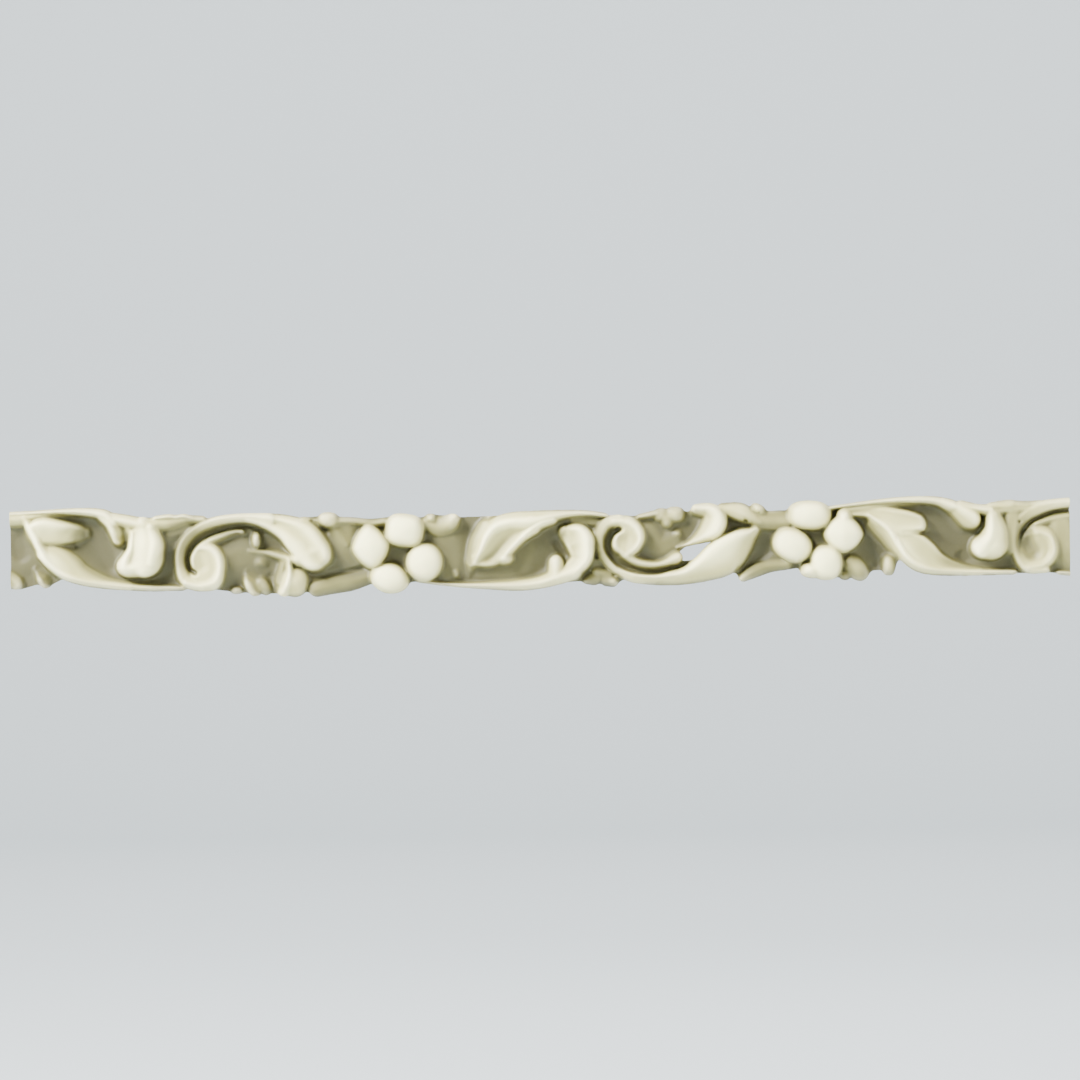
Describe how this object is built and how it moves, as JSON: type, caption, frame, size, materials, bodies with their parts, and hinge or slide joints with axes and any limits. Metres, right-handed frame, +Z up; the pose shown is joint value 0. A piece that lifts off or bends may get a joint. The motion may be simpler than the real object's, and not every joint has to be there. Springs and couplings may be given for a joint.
{
  "type": "flexible moulding",
  "caption": "Narrow cast appliqué strip: running acanthus scroll with curled volutes and four-petalled flowers on a thin flat-backed web, cut square at both ends.",
  "frame": {"origin": "on the flat back, at the middle of the cut length and the middle of the drawn width", "axes": "+X along the strip to the right as seen from the front, +Y out of the flat back into the surface it is fixed to, so the carving faces -Y, +Z up across the width"},
  "size_m": [0.382, 0.0096, 0.0334],
  "materials": {
    "cast_resin": "smooth unpainted cast, soft satin"
  },
  "bodies": {
    "root": {"moulding_strip": "cast_resin"}
  },
  "joints": []
}
